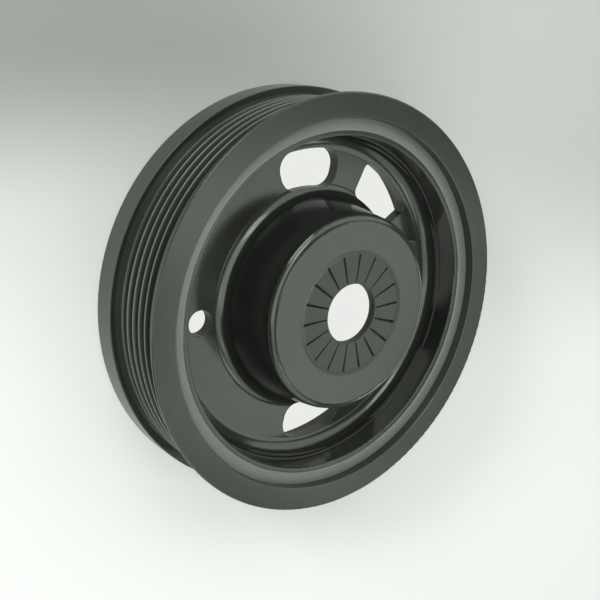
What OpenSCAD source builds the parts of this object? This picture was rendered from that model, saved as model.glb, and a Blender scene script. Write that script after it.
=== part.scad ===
// Harmonic balancer of a car engine: a grooved cast-iron inertia ring, carried on a cast hub by a bonded rubber ring.
// Millimetres. Origin at the centre of the ring's rear face, +Z along the crankshaft axis towards the front.

/* [Inertia ring] */
// Width of the ring from its rear face to its front face
ring_w = 34.3; // [32:0.1:40]
// Diameter over the rib crests of the belt run
crest_d = 131.8; // [130:0.1:133]
// Height of both flanges over the rib crests
flange_rise = 2.6; // [1.8:0.1:5]
// Wall of the ring between the groove bottoms and the rubber
ring_wall = 2.2; // [1.5:0.1:3.5]
// Thickness of the rear flange
rear_flange_w = 8.6; // [5:0.1:9.5]
// Flat rim of the front flange
front_rim_w = 1.2; // [0.8:0.1:1.8]
// Run of the sloped wall behind the front flange
front_slope_w = 2.4; // [1.6:0.1:2.6]
// Break of the edges at the front and rear faces
ring_edge = 0.5; // [0.2:0.05:0.8]
// Break of the flanges' edges beside the belt
belt_edge = 0.25; // [0.1:0.05:0.5]

/* [Belt grooves] */
// Number of V grooves
groove_count = 5; // [3:1:5]
// Distance between neighbouring grooves
groove_pitch = 3.56; // [3.4:0.02:3.6]
// Depth of a groove below the crests
groove_depth = 3.1; // [2.4:0.1:3.3]
// Included angle of a groove
groove_angle = 40; // [36:1:42]
// Flat of each rib crest before its edges are rounded
crest_flat = 0.5; // [0.4:0.05:0.7]
// Rounding of the crest edges
crest_round = 0.22; // [0.1:0.02:0.26]
// Distance from the front face to the middle of the first groove
first_groove_inset = 7.68; // [7:0.02:8]

/* [Rubber ring] */
// Radial thickness of the rubber
rubber_t = 4.1; // [3:0.1:5]
// Set-back of the rubber's ends from the ring's faces, at the rim
rubber_inset = 3; // [2:0.1:4]
// Further set-back of the rubber's ends at the ring
rubber_fall = 0.3; // [0.1:0.05:0.6]
// Rounding of the rubber's edges at the rim
rubber_edge = 0.35; // [0.1:0.05:0.38]

/* [Hub rim] */
// Wall of the rim tube as cast
rim_wall = 2; // [1.6:0.1:3]
// Depth that the front of the rim is turned wider than the casting
rim_cut = 0.4; // [0.1:0.05:0.8]
// Distance from the rim's front end to the end of the turned stretch
rim_turned_depth = 7.4; // [6:0.1:7.8]
// Set-back of the rim's ends from the rubber's ends
rim_inset = 0.4; // [0.1:0.05:1]
// Rounding of the inner edge of each rim end
rim_edge = 0.4; // [0.2:0.05:0.8]
// Corner radius between the rim tube and the web
rim_fillet = 5.1; // [3:0.1:5.2]

/* [Hub web] */
// Thickness of the web
web_t = 4; // [3:0.1:5]
// Distance from the ring's front face down to the front of the web
web_inset = 16.6; // [15:0.1:17]
// Number of equal steps round the web that the windows stand on
window_steps = 8; // [8:1:9]
// Number of windows
window_count = 5; // [1:1:5]
// Angle that one window spans
window_span = 30.5; // [24:0.5:33]
// Distance of the windows from the cup's foot
window_cup_gap = 2.4; // [1:0.1:5]
// Distance of the windows from the rim tube
window_rim_gap = 4.8; // [3:0.1:7]
// Corner radius of the first and last window
end_window_corner = 5.6; // [4:0.1:5.8]
// Corner radius of the windows between them
mid_window_corner = 2.8; // [2:0.1:4]
// Diameter of the round timing hole
timing_hole_d = 8.3; // [6:0.1:10]
// Distance of the timing hole's middle from the cup's foot
timing_hole_gap = 8.1; // [7:0.1:10]

/* [Hub cup] */
// Height of the cup's face above the ring's front face
face_rise = 5.35; // [3:0.05:7]
// Diameter of the cup's side at its foot
cup_foot_d = 69.2; // [67:0.1:70]
// Diameter of the cup's side at its face
cup_face_d = 63.3; // [61:0.1:64]
// Rounding of the edge between the cup's side and its face
cup_edge_round = 2.3; // [1:0.1:3]
// Corner radius between the cup's side and the web
cup_fillet = 4.4; // [3:0.1:5]
// Thickness of the cup's side
cup_wall = 3.2; // [2.5:0.1:4.5]
// Thickness of the cup's face
face_t = 3.2; // [2.8:0.1:5]
// Corner radius inside the cup
cup_inner_round = 3; // [2:0.1:4]
// Rounding of the cup's mouth at the rear of the web
cup_mouth_round = 1.6; // [0.5:0.1:1.8]
// Diameter of the bore for the crankshaft bolt
bore_d = 19.4; // [16:0.1:19.8]
// Break of the bore's edges
bore_edge = 0.2; // [0.1:0.05:0.4]

/* [Serrated seat] */
// Diameter of the shallow seat round the bore
seat_d = 41; // [40.5:0.5:46]
// Depth of the seat
seat_depth = 0.3; // [0.15:0.05:0.8]
// Width of the slope round the seat's rim
seat_slope_w = 1.6; // [0.4:0.1:2]
// Number of radial serrations
serration_count = 18; // [12:1:20]
// Radius at which the serrations begin
serration_inner_r = 10.2; // [10:0.1:12]
// Radius at which the serrations end
serration_outer_r = 19.2; // [17:0.1:19.6]
// Included angle of a serration's flanks
serration_angle = 50; // [40:1:90]
// Depth of a serration at its inner end
serration_inner_depth = 0.6; // [0.2:0.05:0.8]
// Depth of a serration at its outer end
serration_outer_depth = 1; // [0.5:0.05:1.2]
// Angle of the first serration from the X axis
serration_phase = 10; // [0:0.5:20]

/* [Hidden] */
$fn = 180;
// Overrun of every cut past the face that it leaves
over = 1;
// Largest share of a window's height that a corner takes
corner_share = 0.45;
// Share by which a rounding's circle passes its tangent sides
arc_bulge = 1.003;
// Shares of the radius by which a rounding's piece passes its chord, and reaches beyond it
arc_slack = 0.1;
arc_reach = 1.5;
// Facets of a full circle in a rounding
arc_facets = 60;

crest_r = crest_d / 2;
flange_r = crest_r + flange_rise;
rubber_r = crest_r - groove_depth - ring_wall;
rim_r = rubber_r - rubber_t;
rim_cast_r = rim_r - rim_wall;
rim_turned_r = rim_cast_r + rim_cut;
groove_half = (groove_pitch - crest_flat) / 2;
root_half = groove_half - groove_depth * tan(groove_angle / 2);

rubber_front_z = ring_w - rubber_inset;
rim_front_z = rubber_front_z - rim_inset;
rim_rear_z = rubber_inset + rim_inset;
web_front_z = ring_w - web_inset;
web_rear_z = web_front_z - web_t;
face_z = ring_w + face_rise;
face_rear_z = face_z - face_t;
cup_foot_r = cup_foot_d / 2;
cup_face_r = cup_face_d / 2;
window_inner_r = cup_foot_r + window_cup_gap;
window_outer_r = rim_cast_r - window_rim_gap;
timing_hole_r = cup_foot_r + timing_hole_gap;
cup_slope = (cup_foot_r - cup_face_r) / (face_z - web_front_z);
bore_r = bore_d / 2;
seat_r = seat_d / 2;
seat_z = face_z - seat_depth;

iron = [0.27, 0.29, 0.28];
rubber = [0.12, 0.12, 0.12];

// Radius of the cup's outer side at height z
function cup_r(z) = cup_face_r + cup_slope * (face_z - z);

// Direction from one point to another
function towards(a, b) = (b - a) / norm(b - a);

// Closed outline through corners given as [x, y, radius], with a true arc at each corner that has a radius
module rounded(corners) {
    n = len(corners);
    points = [for (c = corners) [c[0], c[1]]];
    ins = [for (i = [0 : n - 1]) towards(points[i], points[(i + n - 1) % n])];
    outs = [for (i = [0 : n - 1]) towards(points[i], points[(i + 1) % n])];
    halves = [for (i = [0 : n - 1]) acos(ins[i] * outs[i]) / 2];
    turns = [for (i = [0 : n - 1]) outs[i].x * ins[i].y - outs[i].y * ins[i].x];
    reaches = [for (i = [0 : n - 1]) corners[i][2] / tan(halves[i])];
    difference() {
        union() {
            polygon([for (i = [0 : n - 1]) each corners[i][2] > 0
                ? [points[i] + reaches[i] * ins[i], points[i] + reaches[i] * outs[i]]
                : [points[i]]]);
            for (i = [0 : n - 1])
                if (corners[i][2] > 0 && turns[i] > 0)
                    corner_arc(points[i], ins[i], outs[i], halves[i], corners[i][2]);
        }
        for (i = [0 : n - 1])
            if (corners[i][2] > 0 && turns[i] < 0)
                corner_arc(points[i], ins[i], outs[i], halves[i], corners[i][2]);
    }
}

// Piece between the chord and the arc of a rounded corner
module corner_arc(point, in, out, half, radius) {
    reach = radius / tan(half);
    centre = point + radius / sin(half) * towards([0, 0], in + out);
    arc_piece(centre, point + reach * in, point + reach * out, radius);
}

// Piece of a circle beyond the chord from a to b, a trace wider so that it crosses its sides cleanly
module arc_piece(centre, a, b, radius) {
    along = arc_slack * radius * towards(a, b);
    back = arc_slack * radius * towards((a + b) / 2, centre);
    beyond = arc_reach * radius * towards(centre, (a + b) / 2);
    intersection() {
        translate(centre) circle(radius * arc_bulge, $fn = arc_facets);
        polygon([a - along + back, b + along + back, b + along + beyond, a - along + beyond]);
    }
}

// Belt side of the ring from the rear to the front, with the corners of each groove
function groove_corners(middle) = [
    [crest_r, middle - groove_half, crest_round],
    [crest_r - groove_depth, middle - root_half, 0],
    [crest_r - groove_depth, middle + root_half, 0],
    [crest_r, middle + groove_half, crest_round]
];

module inertia_ring() {
    color(iron)
    rotate_extrude()
    rounded([
        [rubber_r, 0, ring_edge],
        [flange_r, 0, ring_edge],
        [flange_r, rear_flange_w, belt_edge],
        [crest_r, rear_flange_w, 0],
        for (i = [groove_count - 1 : -1 : 0])
            each groove_corners(ring_w - first_groove_inset - i * groove_pitch),
        [crest_r, ring_w - front_rim_w - front_slope_w, 0],
        [flange_r, ring_w - front_rim_w, belt_edge],
        [flange_r, ring_w, ring_edge],
        [rubber_r, ring_w, ring_edge]
    ]);
}

module rubber_ring() {
    color(rubber)
    rotate_extrude()
    rounded([
        [rim_r, rubber_inset, rubber_edge],
        [rubber_r, rubber_inset + rubber_fall, 0],
        [rubber_r, rubber_front_z - rubber_fall, 0],
        [rim_r, rubber_front_z, rubber_edge]
    ]);
}

// Half section of the casting: rim tube, web, and cup with its face
module hub_section() {
    rounded([
        [bore_r, face_rear_z, bore_edge],
        [cup_r(face_rear_z) - cup_wall, face_rear_z, cup_inner_round],
        [cup_r(web_rear_z) - cup_wall, web_rear_z, cup_mouth_round],
        [rim_cast_r, web_rear_z, rim_fillet],
        [rim_cast_r, rim_rear_z, rim_edge],
        [rim_r, rim_rear_z, 0],
        [rim_r, rim_front_z, 0],
        [rim_turned_r, rim_front_z, rim_edge],
        [rim_turned_r, rim_front_z - rim_turned_depth, 0],
        [rim_cast_r, rim_front_z - rim_turned_depth, 0],
        [rim_cast_r, web_front_z, rim_fillet],
        [cup_r(web_front_z), web_front_z, cup_fillet],
        [cup_face_r, face_z, cup_edge_round],
        [seat_r, face_z, 0],
        [seat_r - seat_slope_w, seat_z, 0],
        [bore_r, seat_z, bore_edge]
    ]);
}

// Point at a radius and an angle
function polar(r, angle) = r * [cos(angle), sin(angle)];

// Window through the web, a sector of a flat ring on the X axis with its four corners rounded
module window(wanted_corner) {
    corner = min(wanted_corner, corner_share * (window_outer_r - window_inner_r));
    inner_c = window_inner_r + corner;
    outer_c = window_outer_r - corner;
    inner_side = sqrt(pow(inner_c, 2) - pow(corner, 2));
    outer_side = sqrt(pow(outer_c, 2) - pow(corner, 2));
    half = window_span / 2;
    inner_half = half - asin(corner / inner_c);
    outer_half = half - asin(corner / outer_c);
    translate([0, 0, web_rear_z - over])
    linear_extrude(web_t + 2 * over) {
        intersection() {
            difference() {
                circle(window_outer_r);
                circle(window_inner_r);
            }
            polygon([
                polar(window_inner_r - corner, -inner_half),
                polar(window_inner_r, -inner_half),
                polar(inner_side, -half),
                polar(outer_side, -half),
                polar(window_outer_r, -outer_half),
                polar(window_outer_r + corner, -outer_half),
                polar(window_outer_r + corner, outer_half),
                polar(window_outer_r, outer_half),
                polar(outer_side, half),
                polar(inner_side, half),
                polar(window_inner_r, inner_half),
                polar(window_inner_r - corner, inner_half)
            ]);
        }
        for (side = [-1, 1]) {
            arc_piece(polar(inner_c, side * inner_half), polar(window_inner_r, side * inner_half),
                polar(inner_side, side * half), corner);
            arc_piece(polar(outer_c, side * outer_half), polar(outer_side, side * half),
                polar(window_outer_r, side * outer_half), corner);
        }
    }
}

// V groove along a radius, deeper and wider towards its outer end
module serration() {
    run = serration_outer_r - serration_inner_r;
    fall = atan((serration_outer_depth - serration_inner_depth) / run);
    rise = serration_outer_depth + seat_depth + over;
    flank = rise * tan(serration_angle / 2);
    translate([serration_inner_r, 0, seat_z - serration_inner_depth])
    rotate([0, fall, 0])
    rotate([90, 0, 90])
    linear_extrude(run / cos(fall))
    polygon([[0, 0], [flank, rise], [-flank, rise]]);
}

module hub() {
    color(iron)
    difference() {
        rotate_extrude() hub_section();
        for (i = [0 : window_count - 1])
            rotate(90 + (i - (window_count - 1) / 2) * 360 / window_steps)
                window(i == 0 || i == window_count - 1 ? end_window_corner : mid_window_corner);
        translate([0, -timing_hole_r, web_rear_z - over])
            cylinder(d = timing_hole_d, h = web_t + 2 * over);
        for (i = [0 : serration_count - 1])
            rotate(serration_phase + i * 360 / serration_count) serration();
    }
}

inertia_ring();
rubber_ring();
hub();
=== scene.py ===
import math

import bpy
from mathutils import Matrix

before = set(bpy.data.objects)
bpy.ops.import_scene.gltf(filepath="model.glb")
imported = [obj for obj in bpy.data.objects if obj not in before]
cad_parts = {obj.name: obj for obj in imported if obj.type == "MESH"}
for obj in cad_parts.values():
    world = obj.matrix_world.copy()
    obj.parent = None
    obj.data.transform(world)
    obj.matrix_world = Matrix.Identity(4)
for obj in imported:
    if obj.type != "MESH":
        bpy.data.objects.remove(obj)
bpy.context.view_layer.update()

# The camera looks down on the front face from the timing hole's side, rolled so that the damper
# seems to stand on its rim, as in the photograph.
camera_place = (-0.09623, -0.18529, 0.25622)
camera_turn = (-17.634, -37.301, 89.679)
bpy.ops.object.camera_add(location=camera_place, rotation=[math.radians(angle) for angle in camera_turn])
camera = bpy.context.object
camera.name = "photo_camera"
camera.data.sensor_width = 36
camera.data.lens = 57.0
camera.data.clip_start = 0.01
camera.data.clip_end = 20
bpy.context.scene.camera = camera
bpy.context.scene.view_settings.view_transform = "Standard"

# Soft studio light: a faint pale world, and softboxes all round and overhead for the coat to mirror.
# Each is given by its direction from the part, the angles that it spans there and its radiance. The
# strip low at the left draws the edges, and the last softbox is for the floor's shadow alone.
studio_tint = (0.97, 1.0, 0.96)
world = bpy.data.worlds.new("studio")
bpy.context.scene.world = world
world.use_nodes = True
world.node_tree.nodes["Background"].inputs["Color"].default_value = (*studio_tint, 1)
world.node_tree.nodes["Background"].inputs["Strength"].default_value = 0.17

softbox_distance = 1.2
for name, azimuth, elevation, wide, high, radiance in (
    ("back_softbox", 60, 50.5, 40, 18, 1.4),
    ("back_low_softbox", 60, 22, 40, 15, 2.8),
    ("back_top_softbox", 70, 67, 20, 15, 2.1),
    ("left_softbox", 140, 37, 80, 45, 1.35),
    ("left_strip", -158, 10, 36, 15, 5.5),
    ("left_top_softbox", -165, 45, 28, 34, 3.6),
    ("right_softbox", -10, 30, 60, 45, 1.0),
    ("right_top_softbox", 10, 54, 20, 15, 2.2),
    ("near_softbox", -50, 60, 60, 30, 1.25),
    ("top_softbox", -110, 67, 80, 15, 1.6),
    ("camera_softbox", -117, 46, 84, 28, 2.0),
    ("zenith_softbox", 70, 82, 90, 14, 1.0),
    ("shadow_softbox", -128, 22, 18, 12, 48.0),
):
    level = softbox_distance * math.cos(math.radians(elevation))
    width = 2 * level * math.tan(math.radians(wide / 2))
    height = 2 * softbox_distance * math.tan(math.radians(high / 2))
    bpy.ops.object.light_add(
        type="AREA",
        location=(
            level * math.cos(math.radians(azimuth)),
            level * math.sin(math.radians(azimuth)),
            softbox_distance * math.sin(math.radians(elevation)),
        ),
    )
    softbox = bpy.context.object
    softbox.name = name
    softbox.data.shape = "RECTANGLE"
    softbox.data.size = width
    softbox.data.size_y = height
    softbox.data.color = studio_tint
    softbox.data.energy = radiance * math.pi * width * height
    softbox.rotation_euler = (-softbox.location).to_track_quat("-Z", "Y").to_euler()
shadow_softbox = softbox

# The inertia ring is one iron casting, turned all over, under a thin black coat. The lathe's rings
# run round it, the crest of each rib is lighter, partly as the coat worn thin and partly as a painted
# highlight, each groove between the ribs carries painted shade, and the casting's grain shows faintly.
coat_specular = 0.85
ring_black = (0.0145, 0.016, 0.014)
ring_grey = (0.02, 0.022, 0.0195)
ring_plain = (0.015, 0.016, 0.015)
worn_and_highlit_crest = (0.1, 0.107, 0.1)
groove_painted_shade = (0.009, 0.01, 0.009)
belt_run_rear = (0.0108, 0.0112)
belt_run_front = (0.0284, 0.0280)
crest_foot = (0.0655, 0.0659)
crest_top = (0.0662, 0.0660)
groove_floor = (0.0616, 0.0622)
groove_mouth = (0.0657, 0.0651)


def new_finish(name, plain_colour, roughness, specular):
    """A material with one shader. The plain colour and roughness stand where no pattern is linked."""
    material = bpy.data.materials.new(name)
    material.use_nodes = True
    shader = material.node_tree.nodes["Principled BSDF"]
    shader.inputs["Base Color"].default_value = (*plain_colour, 1)
    shader.inputs["Roughness"].default_value = roughness
    shader.inputs["Specular IOR Level"].default_value = specular
    shader.inputs["Specular Tint"].default_value = (0.92, 1.0, 0.88, 1)
    return material, material.node_tree, shader


def math_node(tree, operation, first, second=None, clamp=False):
    """A Math node on sockets or numbers. Returns its output."""
    node = tree.nodes.new("ShaderNodeMath")
    node.operation = operation
    node.use_clamp = clamp
    for socket, value in zip(node.inputs, (first, second)):
        if value is None:
            continue
        if isinstance(value, (int, float)):
            socket.default_value = value
        else:
            tree.links.new(value, socket)
    return node.outputs[0]


def round_the_axis(tree):
    """The surface point in object coordinates, its radius from the axis and its height, in metres."""
    place = tree.nodes.new("ShaderNodeTexCoord").outputs["Object"]
    split = tree.nodes.new("ShaderNodeSeparateXYZ")
    tree.links.new(place, split.inputs[0])
    x, y, z = split.outputs
    square = math_node(tree, "ADD", math_node(tree, "MULTIPLY", x, x), math_node(tree, "MULTIPLY", y, y))
    return place, math_node(tree, "SQRT", square), z


def mottling(tree, vector, scale, detail, roughness=0.5):
    """Noise over a vector, at a scale per metre."""
    node = tree.nodes.new("ShaderNodeTexNoise")
    node.inputs["Scale"].default_value = scale
    node.inputs["Detail"].default_value = detail
    node.inputs["Roughness"].default_value = roughness
    tree.links.new(vector, node.inputs["Vector"])
    return node.outputs["Fac"]


def lathe_rings(tree, radius, height, scale):
    """Noise that runs round the axis: the fine rings that a lathe tool leaves."""
    join = tree.nodes.new("ShaderNodeCombineXYZ")
    tree.links.new(radius, join.inputs[0])
    tree.links.new(height, join.inputs[1])
    return mottling(tree, join.outputs[0], scale, detail=3.0, roughness=0.6)


def soft_step(tree, value, low, high, at_low=0.0, at_high=1.0):
    """Maps a value from low..high to at_low..at_high with soft ends, held outside."""
    node = tree.nodes.new("ShaderNodeMapRange")
    node.interpolation_type = "SMOOTHSTEP"
    tree.links.new(value, node.inputs["Value"])
    for key, number in (("From Min", low), ("From Max", high), ("To Min", at_low), ("To Max", at_high)):
        node.inputs[key].default_value = number
    return node.outputs["Result"]


def band(tree, value, start, end):
    """1 between two edges of a value, 0 outside. Each edge is a pair: where it is 0, where it is 1."""
    return math_node(tree, "MULTIPLY", soft_step(tree, value, *start), soft_step(tree, value, *end))


def mix_colour(tree, share, first, second):
    """A colour between two, by a share from 0 to 1."""
    node = tree.nodes.new("ShaderNodeMix")
    node.data_type = "RGBA"
    tree.links.new(share, node.inputs["Factor"])
    for socket, value in zip((node.inputs["A"], node.inputs["B"]), (first, second)):
        if isinstance(value, tuple):
            socket.default_value = (*value, 1)
        else:
            tree.links.new(value, socket)
    return node.outputs["Result"]


def bump(tree, shader, strength, distance, relief, below=None):
    """A Bump node into the shader's normal, over another node's normal if one is given."""
    node = tree.nodes.new("ShaderNodeBump")
    node.inputs["Distance"].default_value = distance
    node.inputs["Strength"].default_value = strength
    tree.links.new(relief, node.inputs["Height"])
    if below is not None:
        tree.links.new(below, node.inputs["Normal"])
    tree.links.new(node.outputs["Normal"], shader.inputs["Normal"])
    return node.outputs["Normal"]


ring_coat, tree, shader = new_finish("ring_coat_turned", ring_plain, roughness=0.25, specular=coat_specular)
place, radius, height = round_the_axis(tree)
rings = lathe_rings(tree, radius, height, scale=1400)
grain = mottling(tree, place, scale=1800, detail=4.0, roughness=0.6)
blotches = mottling(tree, place, scale=55, detail=3.0)
colour = mix_colour(tree, blotches, ring_black, ring_grey)

belt_run = band(tree, height, belt_run_rear, belt_run_front)
# The crest of each rib gets a lighter colour: partly the coat worn thin, partly a painted highlight.
crest_wear_and_highlight = math_node(tree, "MULTIPLY", band(tree, radius, crest_foot, crest_top), belt_run)
# Painted shade: each groove between the ribs gets a darker colour and a dimmer reflection.
shaded_grooves = math_node(tree, "MULTIPLY", band(tree, radius, groove_floor, groove_mouth), belt_run)
colour = mix_colour(tree, crest_wear_and_highlight, colour, worn_and_highlit_crest)
colour = mix_colour(tree, shaded_grooves, colour, groove_painted_shade)
tree.links.new(colour, shader.inputs["Base Color"])

groove_reflection_shade = math_node(tree, "MULTIPLY", shaded_grooves, 0.5)
ring_specular = math_node(tree, "SUBTRACT", coat_specular, groove_reflection_shade)
tree.links.new(ring_specular, shader.inputs["Specular IOR Level"])
groove_roughness = math_node(tree, "MULTIPLY", shaded_grooves, 0.2)
grain_roughness = soft_step(tree, grain, 0.3, 0.7, at_low=0.2, at_high=0.26)
ring_roughness = math_node(tree, "ADD", grain_roughness, groove_roughness)
tree.links.new(ring_roughness, shader.inputs["Roughness"])
fine = bump(tree, shader, strength=0.12, distance=0.00003, relief=rings)
bump(tree, shader, strength=0.12, distance=0.00003, relief=grain, below=fine)
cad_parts["inertia_ring"].material_slots[0].material = ring_coat

# The rubber ring is bonded between the two iron pieces. It is grey with a slight sheen, a little
# mottled, with fine flow marks round it from its mould.
rubber_dark = (0.13, 0.14, 0.13)
rubber_light = (0.16, 0.172, 0.16)
rubber, tree, shader = new_finish("damper_rubber", rubber_dark, roughness=0.3, specular=0.85)
place, radius, height = round_the_axis(tree)
flow = lathe_rings(tree, radius, height, scale=900)
mottle = mottling(tree, place, scale=240, detail=4.0, roughness=0.6)
colour = mix_colour(tree, mottle, rubber_dark, rubber_light)
tree.links.new(colour, shader.inputs["Base Color"])
fine = bump(tree, shader, strength=0.3, distance=0.00005, relief=flow)
bump(tree, shader, strength=0.3, distance=0.00005, relief=mottle, below=fine)
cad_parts["rubber_ring"].material_slots[0].material = rubber

# The hub is one iron casting under the same black coat, bonded inside the rubber. Its rim and face
# are turned smooth, the web and fillets keep the casting's grain, and every edge is slightly broken.
# The shallow seat in its face is duller than the rest.
hub_black = (0.011, 0.012, 0.0105)
hub_grey = (0.0155, 0.017, 0.015)
hub_plain = (0.015, 0.016, 0.015)
hub_coat, tree, shader = new_finish("hub_coat_cast", hub_plain, roughness=0.24, specular=coat_specular)
place, radius, height = round_the_axis(tree)
rings = lathe_rings(tree, radius, height, scale=1400)
grain = mottling(tree, place, scale=1500, detail=4.0, roughness=0.6)
blotches = mottling(tree, place, scale=60, detail=3.0)
colour = mix_colour(tree, blotches, hub_black, hub_grey)
tree.links.new(colour, shader.inputs["Base Color"])

within_seat = soft_step(tree, radius, 0.0214, 0.0186)
at_face = soft_step(tree, height, 0.0375, 0.038)
seat = math_node(tree, "MULTIPLY", within_seat, at_face)
seat_roughness = math_node(tree, "MULTIPLY", seat, 0.25)
grain_roughness = soft_step(tree, grain, 0.3, 0.7, at_low=0.14, at_high=0.2)
hub_roughness = math_node(tree, "ADD", grain_roughness, seat_roughness)
tree.links.new(hub_roughness, shader.inputs["Roughness"])
broken_edge = tree.nodes.new("ShaderNodeBevel")
broken_edge.samples = 4
broken_edge.inputs["Radius"].default_value = 0.0004
edge_normal = broken_edge.outputs["Normal"]
fine = bump(tree, shader, strength=0.1, distance=0.00003, relief=rings, below=edge_normal)
bump(tree, shader, strength=0.12, distance=0.00004, relief=grain, below=fine)
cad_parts["hub"].material_slots[0].material = hub_coat

# The floor is one pale sheet with painted shade, darker towards the top of the picture and most so at its
# left.
# Inside the ring the camera sees its colour as it is, so that the windows and the bore show a pale
# background. Outside, a quarter of it is shown so, and the rest takes the soft shadow.
far_pale = (0.43, 0.445, 0.43)
middle_pale = (0.67, 0.68, 0.67)
near_pale = (0.71, 0.72, 0.71)
inside_pale = (0.82, 0.84, 0.81)
black = (0.0, 0.0, 0.0)
inside_ring = 0.062
outside_ring = 0.068
bpy.ops.mesh.primitive_plane_add(size=6, location=(0, 0, 0))
floor = bpy.context.object
floor.name = "floor"
pale_floor = bpy.data.materials.new("pale_floor")
pale_floor.use_nodes = True
tree = pale_floor.node_tree
tree.nodes.clear()
place, radius, _ = round_the_axis(tree)
split = tree.nodes.new("ShaderNodeSeparateXYZ")
tree.links.new(place, split.inputs[0])
x, y, _ = split.outputs

# On the floor x runs down the picture and y to its right.
down = math_node(tree, "SUBTRACT", x, math_node(tree, "MULTIPLY", y, 0.2))
# Painted shade: the floor's colour darkens towards the top of the picture, most at its left.
colour = mix_colour(tree, soft_step(tree, down, -0.07, 0.045), far_pale, middle_pale)
colour = mix_colour(tree, soft_step(tree, down, 0.03, 0.13), colour, near_pale)
painted_shade_at_top = soft_step(tree, x, -0.085, -0.035, at_low=1, at_high=0)
painted_shade_at_left = soft_step(tree, y, -0.07, 0.13, at_low=0.43, at_high=0)
colour = mix_colour(tree, math_node(tree, "MULTIPLY", painted_shade_at_top, painted_shade_at_left), colour, black)
colour = mix_colour(tree, soft_step(tree, radius, outside_ring, inside_ring), colour, inside_pale)

diffuse = tree.nodes.new("ShaderNodeBsdfDiffuse")
glow = tree.nodes.new("ShaderNodeEmission")
tree.links.new(colour, diffuse.inputs["Color"])
tree.links.new(colour, glow.inputs["Color"])
rays = tree.nodes.new("ShaderNodeLightPath").outputs
seen_share = soft_step(tree, radius, inside_ring, outside_ring, at_low=1.0, at_high=0.25)
seen = math_node(tree, "MULTIPLY", rays["Is Camera Ray"], seen_share)
mirrored_inside = soft_step(tree, radius, inside_ring, outside_ring, at_low=0.4, at_high=0)
mirrored_outside = soft_step(tree, radius, 0.09, 0.16, at_low=0, at_high=0.55)
mirrored_share = math_node(tree, "ADD", mirrored_inside, mirrored_outside)
mirrored = math_node(tree, "MULTIPLY", rays["Is Glossy Ray"], mirrored_share)
shown = math_node(tree, "ADD", seen, mirrored, clamp=True)
blend = tree.nodes.new("ShaderNodeMixShader")
tree.links.new(shown, blend.inputs[0])
tree.links.new(diffuse.outputs[0], blend.inputs[1])
tree.links.new(glow.outputs[0], blend.inputs[2])
surface = tree.nodes.new("ShaderNodeOutputMaterial")
tree.links.new(blend.outputs[0], surface.inputs["Surface"])
floor.data.materials.append(pale_floor)

lit_for_shadow = bpy.data.collections.new("lit_by_shadow_softbox")
lit_for_shadow.objects.link(floor)
shadow_softbox.light_linking.receiver_collection = lit_for_shadow
